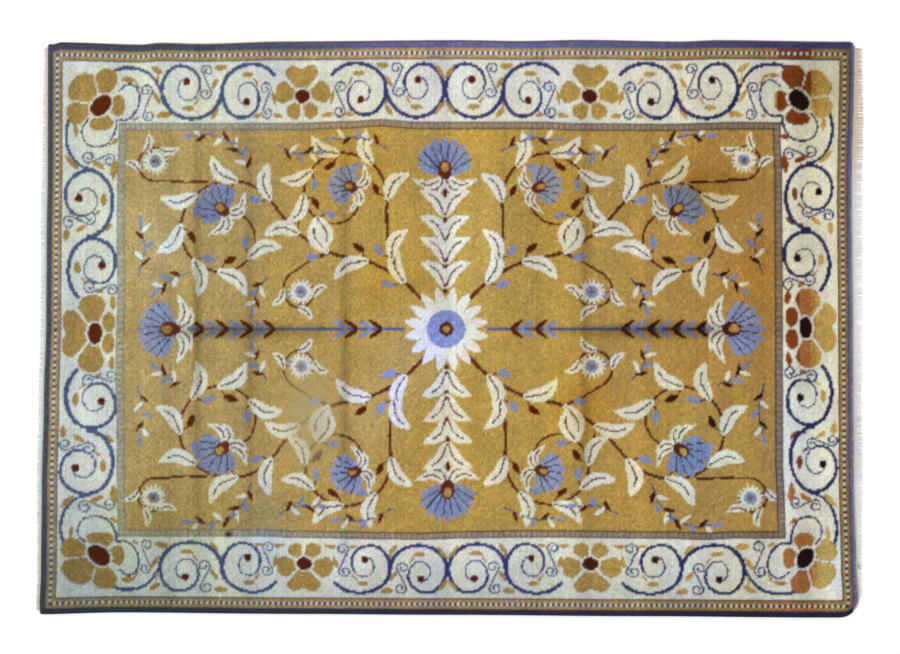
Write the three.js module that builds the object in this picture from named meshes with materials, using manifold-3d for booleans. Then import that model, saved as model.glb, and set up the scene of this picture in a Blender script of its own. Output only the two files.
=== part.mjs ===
// A hand-knotted wool carpet of the Donegal kind, lying flat: one knotted carpet with a narrow
// flat-woven strip at both ends, an overcast cord along each long side and a fringe at each end.
// Millimetres, +Z up. The underside is z = 0. The long sides and the warps run along X.
import * as THREE from "three";
import { mergeVertices } from "three/addons/utils/BufferGeometryUtils.js";
import Module from "manifold-3d";

const wasm = await Module();
wasm.setup();

// Driving dimensions: the loom count gives the pile's nominal length and width
const rowPitch = 6.12; // knot rows, counted along X
const knotPitch = 7.0; // knots in a row, counted along Y
const rows = 592;
const knotsInRow = 366;
const halfLength = (rows * rowPitch) / 2;
const halfWidth = (knotsInRow * knotPitch) / 2;

// Heights above the floor
const webHeight = 3.5; // warps and wefts, and the flat-woven ends
const pileHeight = 14; // top of the pile
const cordHeight = 11;
const fringeHeight = 3;

// Edges
const pileRound = { size: 4, rise: 3, steps: 2 };
const cordRound = { size: 2.5, rise: 3, steps: 2 };
const hiddenDepth = 0.2; // the pile block starts this far above the floor, inside the web
const cordWidth = 8;
const clearance = 0.3;
const stationSpacing = 75; // between points of an outline
const cornerStep = 20; // the longest step round a corner

// How far each edge lies outside its nominal line, at places along it: a washed and much
// walked-on carpet, pulled in at the left of its far side and wider at its near end
const farEdge = [
  { along: -1790, out: -6 },
  { along: -1750, out: 3 },
  { along: -1395, out: -7 },
  { along: -1305, out: 1 },
  { along: -1125, out: -3 },
  { along: -740, out: 7 },
  { along: 45, out: 13 },
  { along: 315, out: 9 },
  { along: 600, out: 14 },
  { along: 1035, out: 7 },
  { along: 1215, out: 13 },
  { along: 1780, out: 6 },
];
const nearEdge = [
  { along: -1800, out: -4 },
  { along: -1485, out: -12 },
  { along: -675, out: -5 },
  { along: -45, out: -1 },
  { along: 855, out: 5 },
  { along: 1640, out: 11 },
];
const leftEdge = [
  { along: -1240, out: 36 },
  { along: -1100, out: 30 },
  { along: -700, out: 26 },
  { along: -330, out: 17 },
  { along: 40, out: 6 },
  { along: 370, out: 4 },
  { along: 760, out: -1 },
  { along: 1250, out: -2 },
];
const rightEdge = [
  { along: -1200, out: 27 },
  { along: -1060, out: 18 },
  { along: -680, out: 7 },
  { along: 0, out: 3 },
  { along: 600, out: -3 },
  { along: 1210, out: 10 },
];
const wanderDecay = 5; // the wander dies out inwards as this power of the distance to the middle

// Radius of each corner of the pile
const cornerRadius = { farLeft: 8, farRight: 26, nearLeft: 12, nearRight: 80 };

// Old fold lines, pressed into the pile: along X at one Y, or along Y at one X
const creases = [
  { runs: "x", at: -5, depth: 1.2, halfSpan: 34 },
  { runs: "y", at: -1325, depth: 0.8, halfSpan: 26 },
  { runs: "y", at: -922, depth: 1.0, halfSpan: 28 },
  { runs: "y", at: -360, depth: 0.8, halfSpan: 26 },
  { runs: "y", at: 158, depth: 0.9, halfSpan: 28 },
  { runs: "y", at: 472, depth: 0.8, halfSpan: 26 },
];
const pressLength = 4000; // longer than the carpet
const pressSegments = 90;

// Each end: the width of its flat-woven strip, the way its fringe points, how far in from the
// carpet's sides the fringe stops, and how far it reaches past the strip at places along Y
const leftEnd = {
  strip: 7,
  way: -1,
  nearInset: 14,
  farInset: 12,
  reaches: [
    { along: -1200, out: 11 },
    { along: -980, out: 13 },
    { along: -740, out: 19 },
    { along: 0, out: 23 },
    { along: 1250, out: 26 },
  ],
};
const rightEnd = {
  strip: 8,
  way: 1,
  nearInset: 70,
  farInset: 24,
  reaches: [
    { along: -1180, out: 13 },
    { along: -1060, out: 21 },
    { along: -680, out: 35 },
    { along: -320, out: 33 },
    { along: 380, out: 42 },
    { along: 830, out: 44 },
    { along: 1230, out: 30 },
  ],
};
const tassels = 102;
const tassel = { rootWidth: 19, tipWidth: 10, spine: 3 };

// The colours of the pieces
const wool = { color: 0xa98a4c, roughness: 0.95, metalness: 0 };
const darkWool = { color: 0x3f3a4c, roughness: 0.95, metalness: 0 };
const warpYarn = { color: 0xe3ddcd, roughness: 0.9, metalness: 0 };

// A value read from a table of places, eased from each row to the next
function eased(table, place) {
  const last = table[table.length - 1];
  if (place <= table[0].along) return table[0].out;
  if (place >= last.along) return last.out;
  const next = table.findIndex((row) => row.along > place);
  const from = table[next - 1];
  const to = table[next];
  const share = THREE.MathUtils.smoothstep(place, from.along, to.along);
  return THREE.MathUtils.lerp(from.out, to.out, share);
}

function cornerOf(u, v) {
  if (v > 0) return u > 0 ? cornerRadius.farRight : cornerRadius.farLeft;
  return u > 0 ? cornerRadius.nearRight : cornerRadius.nearLeft;
}

// A point of the nominal pile rectangle, moved to where it lies on the floor
function lay(u, v) {
  const radius = cornerOf(u, v);
  const a = Math.max(0, 1 + (Math.abs(u) - halfLength) / radius);
  const b = Math.max(0, 1 + (Math.abs(v) - halfWidth) / radius);
  let length = Math.abs(u);
  let width = Math.abs(v);
  if (a > 0 && b > 0) {
    length = halfLength - radius + radius * a * Math.sqrt(1 - (b * b) / 2);
    width = halfWidth - radius + radius * b * Math.sqrt(1 - (a * a) / 2);
  }
  const outX = eased(u < 0 ? leftEdge : rightEdge, v) * (length / halfLength) ** wanderDecay;
  const outY = eased(v < 0 ? nearEdge : farEdge, u) * (width / halfWidth) ** wanderDecay;
  return new THREE.Vector2(Math.sign(u) * (length + outX), Math.sign(v) * (width + outY));
}

// Places along an edge: close together on its two corners and evenly spaced between them
function stations(half, lowRadius, highRadius) {
  const places = [];
  const lowSteps = 1 + Math.ceil(lowRadius / cornerStep);
  const highSteps = 1 + Math.ceil(highRadius / cornerStep);
  for (let step = 0; step < lowSteps; step++) {
    places.push(-half + (lowRadius * step) / lowSteps);
  }
  const low = -half + lowRadius;
  const high = half - highRadius;
  const spans = Math.round((high - low) / stationSpacing);
  for (let span = 0; span <= spans; span++) {
    places.push(low + ((high - low) * span) / spans);
  }
  for (let step = 1; step <= highSteps; step++) {
    places.push(high + (highRadius * step) / highSteps);
  }
  return places;
}

// The pile's four edges, in order round the outline against the clock
function pileEdges() {
  const r = cornerRadius;
  const near = stations(halfLength, r.nearLeft, r.nearRight).map((u) => lay(u, -halfWidth));
  const right = stations(halfWidth, r.nearRight, r.farRight).map((v) => lay(halfLength, v));
  const far = stations(halfLength, r.farLeft, r.farRight).map((u) => lay(u, halfWidth));
  const left = stations(halfWidth, r.nearLeft, r.farLeft).map((v) => lay(-halfLength, v));
  return { near, right, far: far.reverse(), left: left.reverse() };
}

// The edge moved outwards by a distance
function movedOut(edge, distance) {
  return edge.map((point, index) => {
    const before = edge[Math.max(0, index - 1)];
    const after = edge[Math.min(edge.length - 1, index + 1)];
    const ahead = after.clone().sub(before).normalize();
    const outward = new THREE.Vector2(ahead.y, -ahead.x);
    return point.clone().addScaledVector(outward, distance);
  });
}

// The edge with both its ends drawn back along it by the clearance
function drawnBack(edge) {
  const points = edge.map((point) => point.clone());
  const last = points.length - 1;
  const startWay = points[1].clone().sub(points[0]).normalize();
  const endWay = points[last - 1].clone().sub(points[last]).normalize();
  points[0].addScaledVector(startWay, clearance);
  points[last].addScaledVector(endWay, clearance);
  return points;
}

function withoutNormals(geometry) {
  geometry.deleteAttribute("normal");
  geometry.deleteAttribute("uv");
  return mergeVertices(geometry);
}

// An outline raised from one height to another, with rounded rims if a round is given
function raised(points, low, high, round) {
  const shape = new THREE.Shape(points);
  const rise = round ? round.rise : 0;
  const geometry = new THREE.ExtrudeGeometry(shape, {
    depth: high - low - 2 * rise,
    steps: 1,
    bevelEnabled: Boolean(round),
    bevelThickness: rise,
    bevelSize: round ? round.size : 0,
    bevelOffset: round ? -round.size : 0,
    bevelSegments: round ? round.steps : 0,
  });
  geometry.translate(0, 0, low + rise);
  return withoutNormals(geometry);
}

function solid(geometry) {
  const vertProperties = new Float32Array(geometry.attributes.position.array);
  const triVerts = new Uint32Array(geometry.index.array);
  return new wasm.Manifold(new wasm.Mesh({ numProp: 3, vertProperties, triVerts }));
}

function surfaceOf(manifold) {
  const mesh = manifold.getMesh();
  const geometry = new THREE.BufferGeometry();
  geometry.setAttribute("position", new THREE.BufferAttribute(mesh.vertProperties, 3));
  geometry.setIndex(new THREE.BufferAttribute(mesh.triVerts, 1));
  return geometry;
}

// A wide round bar whose lowest part presses a soft trough into the top of the pile
function creasePress(crease) {
  const radius = (crease.halfSpan ** 2 + crease.depth ** 2) / (2 * crease.depth);
  const bar = new THREE.CylinderGeometry(radius, radius, pressLength, pressSegments);
  if (crease.runs === "x") bar.rotateZ(Math.PI / 2);
  const height = pileHeight + radius - crease.depth;
  bar.translate(crease.runs === "x" ? 0 : crease.at, crease.runs === "x" ? crease.at : 0, height);
  return withoutNormals(bar);
}

function knottedCarpet(edges) {
  const pileOutline = [...edges.near, ...edges.right, ...edges.far, ...edges.left];
  const webOutline = [
    ...edges.near,
    ...movedOut(edges.right, rightEnd.strip),
    ...edges.far,
    ...movedOut(edges.left, leftEnd.strip),
  ];
  const web = solid(raised(webOutline, 0, webHeight));
  const distinct = pileOutline.filter((point, index) => {
    const next = pileOutline[(index + 1) % pileOutline.length];
    return point.distanceTo(next) > clearance;
  });
  const pile = solid(raised(distinct, hiddenDepth, pileHeight, pileRound));
  let knotted = web.add(pile);
  for (const crease of creases) {
    knotted = knotted.subtract(solid(creasePress(crease)));
  }
  return surfaceOf(knotted);
}

function selvedgeCord(edge) {
  const path = drawnBack(edge);
  const inner = movedOut(path, clearance);
  const outer = movedOut(path, clearance + cordWidth);
  return raised([...outer, ...inner.reverse()], 0, cordHeight, cordRound);
}

// Where a path crosses a given Y, between its points
function crossing(path, y) {
  const next = path.findIndex((point, index) => index > 0 && (point.y - y) * (path[index - 1].y - y) <= 0);
  const from = path[next - 1];
  const to = path[next];
  return from.clone().lerp(to, (y - from.y) / (to.y - from.y));
}

// A comb: a spine against the flat-woven strip, with one tapered tooth for each tassel
function fringeComb(edge, end) {
  const strip = movedOut(edge, end.strip + clearance);
  const low = end.nearInset - halfWidth;
  const high = halfWidth - end.farInset;
  const pitch = (high - low) / tassels;
  const reaching = (y, reach) => crossing(strip, y).add(new THREE.Vector2(end.way * reach, 0));
  const between = strip.filter((point) => point.y > low && point.y < high);
  const spine = between.sort((one, other) => other.y - one.y);
  const teeth = [];
  for (let count = 0; count < tassels; count++) {
    const middle = low + pitch * (count + 0.5);
    const reach = eased(end.reaches, middle);
    teeth.push(reaching(middle - tassel.rootWidth / 2, tassel.spine));
    teeth.push(reaching(middle - tassel.tipWidth / 2, reach));
    teeth.push(reaching(middle + tassel.tipWidth / 2, reach));
    teeth.push(reaching(middle + tassel.rootWidth / 2, tassel.spine));
  }
  const outline = [...teeth, reaching(high, 0), ...spine, reaching(low, 0)];
  return raised(outline, 0, fringeHeight);
}

function piece(name, geometry, finish) {
  geometry.computeVertexNormals();
  const mesh = new THREE.Mesh(geometry, new THREE.MeshStandardMaterial(finish));
  mesh.name = name;
  return mesh;
}

const sides = pileEdges();
const carpet = new THREE.Group();
carpet.add(piece("knotted_carpet", knottedCarpet(sides), wool));
carpet.add(piece("selvedge_far", selvedgeCord(sides.far), darkWool));
carpet.add(piece("selvedge_near", selvedgeCord(sides.near), darkWool));
carpet.add(piece("fringe_left", fringeComb(sides.left, leftEnd), warpYarn));
carpet.add(piece("fringe_right", fringeComb(sides.right, rightEnd), warpYarn));

// The origin is the middle of the whole footprint, on the floor
const footprint = new THREE.Box3().setFromObject(carpet);
const middle = footprint.getCenter(new THREE.Vector3());
carpet.position.set(-middle.x, -middle.y, 0);

export default carpet;
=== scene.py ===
"""A hand-knotted wool carpet of the Donegal kind, lying flat and seen from straight above.

The design is charted as a weaver does it, one wool for each knot: leaves, scrolls and petals
are drawn on a quarter of the loom's grid and mirrored. Each knot is one face of the pile.
Lengths are millimetres, until a finished mesh is laid on the floor in metres.
"""

import bmesh
import bpy
import numpy as np
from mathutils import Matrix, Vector

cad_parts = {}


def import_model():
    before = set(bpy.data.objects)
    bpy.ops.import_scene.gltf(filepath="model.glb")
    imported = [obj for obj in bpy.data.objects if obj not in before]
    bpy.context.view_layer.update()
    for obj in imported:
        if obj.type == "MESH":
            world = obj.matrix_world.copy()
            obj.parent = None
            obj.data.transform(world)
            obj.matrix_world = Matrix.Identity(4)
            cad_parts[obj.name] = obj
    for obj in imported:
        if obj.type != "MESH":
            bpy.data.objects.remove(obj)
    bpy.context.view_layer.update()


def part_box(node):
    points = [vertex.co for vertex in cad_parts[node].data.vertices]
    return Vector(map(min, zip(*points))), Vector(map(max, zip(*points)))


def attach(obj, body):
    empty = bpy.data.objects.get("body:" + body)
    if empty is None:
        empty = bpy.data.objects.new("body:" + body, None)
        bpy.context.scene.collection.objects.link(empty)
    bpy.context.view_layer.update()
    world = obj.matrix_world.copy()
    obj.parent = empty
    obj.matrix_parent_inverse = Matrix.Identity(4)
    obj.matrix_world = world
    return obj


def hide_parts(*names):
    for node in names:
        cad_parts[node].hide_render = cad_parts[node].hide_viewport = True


MM = 0.001

# The loom count: rows of knots are counted along X, and the knots in a row along Y
ROW_PITCH = 6.12
KNOT_PITCH = 7.0
ROWS = 592
KNOTS = 366
HALF_LENGTH = ROWS * ROW_PITCH / 2
HALF_WIDTH = KNOTS * KNOT_PITCH / 2
# The middles of the rows and of the knots in a row, and the lines between those knots
ROW_MIDDLES = (np.arange(ROWS) + 0.5 - ROWS / 2) * ROW_PITCH
KNOT_MIDDLES = (np.arange(KNOTS) + 0.5 - KNOTS / 2) * KNOT_PITCH
KNOT_LINES = (np.arange(KNOTS + 1) - KNOTS / 2) * KNOT_PITCH

# Heights above the floor
WEB_HEIGHT = 3.5
PILE_HEIGHT = 14.0
RIM_DROP = 3.0  # the pile's rim rounds down by this much
CORD_HEIGHT = 10.8
CORD_WIDTH = 8.0
CLEARANCE = 0.3
UNEVENNESS = 0.7  # how far a knot sits off its place
SWELL = 0.2  # how high the pile's gentle waves are
SHORN = 0.25  # how far above or below them a tuft is cut

# How far each edge lies outside its nominal line, as (place along it, distance out)
FAR_EDGE = [(-1790, -6), (-1750, 3), (-1395, -7), (-1305, 1), (-1125, -3), (-740, 7),
            (45, 13), (315, 9), (600, 14), (1035, 7), (1215, 13), (1780, 6)]
NEAR_EDGE = [(-1800, -4), (-1485, -12), (-675, -5), (-45, -1), (855, 5), (1640, 11)]
LEFT_EDGE = [(-1240, 36), (-1100, 30), (-700, 26), (-330, 17), (40, 6), (370, 4), (760, -1),
             (1250, -2)]
RIGHT_EDGE = [(-1200, 27), (-1060, 18), (-680, 7), (0, 3), (600, -3), (1210, 10)]
WANDER_DECAY = 5  # the power with which an edge's wander dies away inwards
# The same for the frame round the field
FAR_FRAME = [(-1400, -2), (-700, -4), (-470, 3), (-315, 12), (-135, 0), (400, 1), (590, -7),
             (945, -8), (1310, -1)]
NEAR_FRAME = [(-1400, 0), (-850, -2), (-700, 4), (-315, 10), (-130, 12), (90, 5), (400, 1),
              (1000, 6), (1130, 11), (1310, 4)]
LEFT_FRAME = [(-900, -15), (-770, -11), (-608, -8), (-446, -6), (-120, 2), (200, -4), (450, 0),
              (690, -2), (900, -7)]
RIGHT_FRAME = [(-900, 6), (-770, 5), (-600, -2), (500, -2), (690, -3), (850, -11), (1000, -11)]
# The frame's own wander comes in and goes out again at these shares of the half length and width
END_FRAME_PLACE = (0.7, 0.83, 0.9)
SIDE_FRAME_PLACE = (0, 0.71, 1)
# The corners' radii
CORNERS = {"far left": 8, "far right": 26, "near left": 12, "near right": 80}

# Old fold lines: the way each runs, where it lies, its depth and half its span
CREASES = [("x", -5, 1.2, 34), ("y", -1325, 0.8, 26), ("y", -922, 1.0, 28),
           ("y", -360, 0.8, 26), ("y", 158, 0.9, 28), ("y", 472, 0.8, 26)]

# Each end: the width of its flat-woven strip, the way it faces, how far from the near and the far
# corner its fringe stops, and how long the fringe is along it
ENDS = {
    "left": {"strip": 7, "way": -1, "near": 14, "far": 12,
             "reaches": [(-1200, 11), (-980, 13), (-740, 19), (0, 23), (560, 24), (980, 20), (1250, 15)]},
    "right": {"strip": 8, "way": 1, "near": 70, "far": 14,
              "reaches": [(-1180, 13), (-1060, 21), (-680, 35), (-320, 33), (380, 42), (830, 44),
                          (1230, 30)]},
}
TASSELS = 102
YARNS = 7  # in a tassel: two warps to a knot, 3.5 mm apart
YARN = 2.2  # thickness of a warp end
TASSEL_WIDTH = 19.6  # at the tips of its yarns
# How a yarn comes down to the floor: the share along it, and the height of its middle there
YARN_FALL = [(0, 1.9), (0.12, 1.75), (0.3, 1.35), (0.5, 1.15), (0.7, 1.12), (0.86, 1.1), (1, 1.1)]

# The dyed wools, each with the shade it has at the left end, in the middle and at the right end
DYES = {
    "ochre": ("B09A64", "B8984F", "B08848"),
    "gold": ("A68A4C", "B0904C", "BA9850"),
    "rust": ("7C3B10", "7C3B10", "7C3B10"),
    "amber": ("AE7434", "AE7434", "AE7434"),
    "copper": ("A86A38", "A86A38", "A86A38"),
    "bronze": ("A48C5C", "BC9A60", "987A42"),
    "russet": ("8F6C3C", "8F6C3C", "8F6C3C"),
    "cream": ("D8DFD6", "E2E0D4", "DDDAC9"),
    "white": ("D0D0CC", "DEDCD8", "CCC8B4"),
    "dots": ("464E5C", "38386A", "1C1B32"),
    "navy": ("4A5A80", "373A72", "222654"),
    "thread": ("56648A", "484E84", "262A58"),
    "band": ("464C62", "68699A", "40436C"),
    "iris": ("42465C", "6468A0", "5E6690"),
    "night": ("38434E", "36344E", "242340"),
    "blue": ("7C88AC", "848EBC", "7A86B2"),
    "lilac": ("8A94B6", "8E98C4", "8690BC"),
    "violet": ("605A68", "5A4E6A", "3E3248"),
    "slate": ("66748E", "545E86", "363E6C"),
    "guard": ("84908C", "586064", "44484A"),
    "brown": ("5E1C08", "581806", "180805"),
    "dark": ("5A2400", "541A00", "1C0000"),
    "madder": ("66301E", "5E2816", "481616"),
    "beige": ("ACA694", "A68D77", "8C7866"),
    "taupe": ("9A9884", "8E7C68", "7A6654"),
    "plum": ("88847A", "5A4C42", "463A30"),
    "umber": ("6C6854", "8A7A74", "A8948A"),
    "tan": ("BCC0B0", "DED6C6", "D8D0C0"),
}
WOOLS = list(DYES)

# The frames of the design from the outside in: half its rows, half its knots, its wool
FRAMES = [
    (296, 183, "umber"),
    (295, 183, "band"),
    (292, 179, "bronze"),
    (290, 177, "white"),
    (288, 175, "bronze"),
    (286, 173, "violet"),
    (285, 172, "cream"),
    (245, 133, "guard"),
    (244, 132, "beige"),
    (240, 129, "plum"),
    (239, 128, "ochre"),
]
STEPPED = {"white": "dots", "beige": "taupe"}  # a stepped stripe's second wool

BORDER_X = 1615  # the middle of the pale border at the ends
BORDER_Y = 1072  # and on the long sides
LINE = 7.6  # the width of a line one knot thick
CURL_TURN = 414  # how far a tendril's curl winds in, in degrees
CURL_END = 0.28  # and the share of its size that it ends with

# The design is drawn once, on a quarter with its middle at nought. The weaver set it by eye on each
# side, so these pair places on the carpet with places on the drawing, from the left and the near side
DRAWN_X = [1822, 1729, 1582, 1190, 913, 645, 376, 0, 376, 645, 913, 1190, 1582, 1729, 1822]
WOVEN_FAR = [-1811, -1728, -1574, -1184, -914, -665, -402, -23, 353, 628, 905, 1178, 1571, 1717, 1811]
WOVEN_NEAR = [-1808, -1732, -1570, -1190, -908, -658, -382, -11, 367, 630, 924, 1209, 1587, 1730, 1829]
DRAWN_Y = [1280, 1020, 609, 309, 0, 309, 609, 1020, 1280]
WOVEN_LEFT = [-1280, -1020, -625, -326, -19, 284, 590, 1007, 1280]
WOVEN_RIGHT = [-1285, -1025, -603, -309, 6, 318, 618, 1028, 1285]
# and how far out on the far and on the near side the long borders' scrolls lie
DRAWN_OUT = [900, 940, 1070, 1198, 1281]
WOVEN_FAR_OUT = [900, 942, 1070, 1197, 1281]
WOVEN_NEAR_OUT = [900, 955, 1076, 1194, 1281]

# Where a scroll turns back, in shares of its reach: along the border at each half turn, across
# it at each half turn between those. The first and the third along it differ from scroll to scroll
TURNS_ALONG = [1.15, -1.17, 0.29, -0.55, -0.1]
TURNS_ACROSS = [-1.04, 1.04, -1.04, 0.34, -0.5]
LAST_TURN = 1.84

# Leaves at both kinds of scroll: where each starts and ends in the same shares, and its width
INNER_LEAF = ((0.06, 0.63), (-0.38, 0.65), 27)
CLOSED_LEAVES = [((0.91, -0.95), (1.34, -1.0), 29), ((0.97, -0.5), (0.74, -0.12), 23),
                 ((0.99, 0.66), (0.72, 1.05), 24), ((0.96, 0.3), (0.99, 0.68), 13)]
OPEN_LEAVES = [((0.34, -0.94), (0.08, -1.03), 22), ((0.86, -0.06), (0.96, -0.54), 21)]
SIDE_LEAVES = [((0.97, -0.9), (1.44, -0.96), 30), ((0.66, -0.12), (0.8, -0.46), 20)]
# and the leaves round a corner, as they lie on the drawing
CORNER_LEAVES = [((1306, 1152), (1356, 1186), 28), ((1346, 1074), (1311, 1014), 22),
                 ((1268, 966), (1330, 958), 31), ((1434, 1131), (1494, 1132), 26),
                 ((1413, 959), (1442, 948), 15), ((1692, 940), (1684, 879), 20),
                 ((1511, 870), (1529, 846), 13), ((1520, 774), (1526, 690), 32),
                 ((1568, 742), (1622, 774), 26), ((1680, 742), (1732, 796), 26),
                 ((1540, 841), (1522, 871), 12)]

# Petals of the border's flowers: the angle, half the spread, the reach and the notch of each
LONG_PETALS = [(88, 40, 147, 0.17), (10, 32, 131, 0), (169, 32, 131, 0), (239, 27, 112, 0),
               (301, 27, 112, 0)]
SIDE_PETALS = [(0, 53, 155, 0.22), (84, 27, 176, 0), (276, 27, 176, 0)]
CORNER_PETALS = [(43, 34, 160, 0), (102, 25, 162, 0), (-18, 27, 150, 0), (181, 36, 105, 0),
                 (267, 36, 111, 0)]
PETAL_GAP = 2.8  # half the width of the pale line between two of them
# In shares of its reach, a petal's middle, how fast it widens and its greatest half width
PETAL_MIDDLE = 0.57
PETAL_FLARE = 0.66
PETAL_WIDEST = 0.7
PETAL_POWER = 2.5  # 2 would make it an ellipse, and more is squarer
NOTCH_WIDTH = 0.3  # in shares of half the spread
HEART_RIM = 8  # the pale ring round a flower's heart

# Where the second and the third lot of dye take over, from one place along X to another
LOT_CHANGES = [(-1300, -150), (350, 1450)]

# Rows near the right end where other lots were used for gold and bronze: from, to, the lot, its share
RUST_ROWS = [(1395, 1480, "amber", 0.7), (1480, 1622, "rust", 1.0), (1622, 1646, "amber", 0.6)]
# A paler lot took over from the rust nearer than the first of these. In the side flower it did so
# within the second of the middle, and further right than the third
COPPER_LIMITS = (-700, 330, 1570)

# Soft marks of age, and in the second list also painted shade: the middle, the reach each way, then the
# shade that it has faded to and how far
FADED = [
    (-640, -400, 200, 370, "B8AA7A", 0.72),
    (-690, 1262, 420, 34, "40505F", 0.6),
    (680, 1268, 300, 34, "4A6070", 0.5),
]
# or how many times brighter it looks in red, green and blue, from soil and the drift of the dye, and from
# painted shade along the near side and along the fold across the middle
TINTED = [
    # Painted shade: the whole near side darker, and more so towards its left end
    (0, -1310, 2600, 340, (0.85, 0.85, 0.85)),
    (-1700, -1150, 1200, 560, (0.8, 0.83, 0.87)),
    (300, -1100, 1700, 300, (0.97, 1.0, 1.05)),
    (1615, -520, 260, 520, (1.04, 1.06, 1.09)),
    (1700, 1120, 420, 420, (0.88, 0.88, 0.86)),
    (0, 1090, 700, 260, (1.0, 1.02, 1.05)),
    (-997, -925, 28, 24, (0.25, 0.25, 0.22)),
    (-560, 760, 480, 300, (1.03, 0.98, 0.82)),
    (-1350, 380, 240, 400, (1.07, 1.11, 1.18)),
    (110, 330, 180, 540, (1.1, 1.12, 1.13)),
    (130, 850, 200, 200, (1.08, 1.06, 0.96)),
    (1150, 640, 330, 240, (0.9, 0.84, 0.66)),
    (1400, 230, 220, 340, (1.01, 0.94, 0.78)),
    (490, 640, 230, 400, (1.0, 0.95, 0.8)),
    (620, -350, 240, 300, (1.02, 0.95, 0.78)),
    (1000, -430, 300, 260, (0.98, 1.0, 1.02)),
    (1250, -600, 450, 480, (0.98, 1.04, 1.08)),
    (1615, -1080, 300, 260, (0.93, 0.97, 1.04)),
    (1715, -1080, 130, 220, (1.05, 1.09, 1.2)),
    (-1250, -850, 480, 300, (0.93, 0.93, 0.84)),
    (-800, -850, 200, 260, (0.9, 0.95, 1.06)),
    (-330, -380, 200, 300, (1.04, 1.07, 1.24)),
    (-300, 250, 200, 200, (1.0, 0.96, 0.82)),
    (-150, -120, 300, 320, (1.04, 1.08, 1.3)),
    # Painted shade: a dark line along the fold across the middle, to either side of it
    (-955, -9, 660, 60, (0.76, 0.74, 0.7)),
    (945, -9, 670, 60, (0.74, 0.71, 0.66)),
    (-1138, 0, 34, 1400, (0.84, 0.83, 0.82)),
    (-900, 0, 36, 1400, (0.85, 0.84, 0.83)),
    (-472, 0, 36, 1400, (0.88, 0.87, 0.84)),
    (607, 0, 36, 1400, (0.9, 0.88, 0.84)),
]

# The wrapped sides from left to right, and the fringes from the near to the far side
OVERCAST_NEAR = [(0, "34323A"), (0.3, "3E3C44"), (0.6, "42404E"), (0.75, "2E2C48"), (1, "24222E")]
OVERCAST_FAR = [(0, "5E4C40"), (0.08, "7E6448"), (0.2, "A08A60"), (0.34, "8A7258"), (0.42, "8A7486"),
                (0.7, "8A7A88"), (1, "806A64")]
WARP_LEFT = [(0, "C6C8C0"), (0.12, "DAE4E2"), (0.35, "E2F6F8"), (0.7, "E4F5F5"),
             (0.85, "F2EEE4"), (1, "F4EEE2")]
WARP_RIGHT = [(0, "F2F6F6"), (0.2, "F4F6F8"), (0.34, "E6E2E8"), (0.5, "FAFCFC"), (0.72, "F4F4F4"),
              (0.83, "E4D0B4"), (1, "E0CCB0")]
WARP_STAIN = (1836, -1071, 30, 24, "3E3C44", 0.9)  # a small dark stain on the right fringe

SCREEN_GAMMA = 2.3  # light as it looks, raised to this, is light as it is
# How much the shade differs from knot to knot in dark and in pale wool, and each channel by itself
UNEVEN_DYE = 0.15
UNEVEN_PALE = 0.05
UNEVEN_HUE = 0.04
LEAN = 0.6  # how much a tuft's cut end takes from its neighbours
HUE_DRIFT = 0.5  # how far each channel drifts from place to place
LOT_DRIFT = (3.2, 0.9, 1.0)  # how often a lot of dye drifts to and fro in a metre each way
# and the tints that it drifts between
COOL_LOT = (0.9, 0.92, 1.06, 1)
WARM_LOT = (1.09, 1.06, 0.84, 1)
BUMP_STRENGTH = 0.6

# The photograph's view, in millimetres
LENS = 60
SENSOR = 36
VIEW_WIDTH = 4050
CAMERA_Y = 7.5

STUDIO_LIGHT = 1.25  # the light on the carpet, where 1 shows a white as it is
WORLD_LIGHT = 0.85
LAMP_WATTS = 330
LAMP_PLACE = (-1.2, 1.6, 9.0)  # in metres, as are the next two
LAMP_SIZE = (9.0, 8.0)
FLOOR_HALF = 15


class Chart:
    """A quarter of the design, drawn from the middle to the far right corner in squares of half a knot."""

    def __init__(self, wool, rows, knots):
        self.x = (np.arange(rows * 2) + 0.5) * ROW_PITCH / 2
        self.y = (np.arange(knots * 2) + 0.5) * KNOT_PITCH / 2
        self.wool = np.full((rows * 2, knots * 2), WOOLS.index(wool))

    def look_up(self, x, y):
        """The wools at places of the drawing."""
        column = np.clip(x / ROW_PITCH * 2, 0, len(self.x) - 1).astype(int)
        line = np.clip(y / KNOT_PITCH * 2, 0, len(self.y) - 1).astype(int)
        return self.wool[column, line]

    def window(self, low, high):
        """The knots between two corners: their slices, and their places as a column and a row."""
        columns = slice(*np.searchsorted(self.x, (low[0], high[0])))
        lines = slice(*np.searchsorted(self.y, (low[1], high[1])))
        return (columns, lines), self.x[columns, None], self.y[None, lines]

    def ellipse(self, centre, reach, turn, wool):
        """An ellipse with its half axes in reach, turned by degrees."""
        most = max(reach)
        part, x, y = self.window(np.subtract(centre, most), np.add(centre, most))
        angle = np.radians(turn)
        across = (x - centre[0]) * np.cos(angle) + (y - centre[1]) * np.sin(angle)
        up = (y - centre[1]) * np.cos(angle) - (x - centre[0]) * np.sin(angle)
        self.wool[part][(across / reach[0]) ** 2 + (up / reach[1]) ** 2 < 1] = WOOLS.index(wool)

    def stroke(self, path, widths, wool):
        """A line along a path whose width goes evenly through the list of widths."""
        path = np.asarray(path, float)
        steps = np.linspace(0, 1, len(path))
        half = np.interp(steps, np.linspace(0, 1, len(widths)), widths) / 2
        rim = half.max()
        part, x, y = self.window(path.min(0) - rim, path.max(0) + rim)
        inside = np.zeros((x.size, y.size), bool)
        for index in range(len(path) - 1):
            start = path[index]
            along = path[index + 1] - start
            share = (x - start[0]) * along[0] + (y - start[1]) * along[1]
            share = np.clip(share / max(along @ along, 1e-9), 0, 1)
            gap = np.hypot(x - start[0] - share * along[0], y - start[1] - share * along[1])
            inside |= gap < half[index] + share * (half[index + 1] - half[index])
        self.wool[part][inside] = WOOLS.index(wool)


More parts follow.
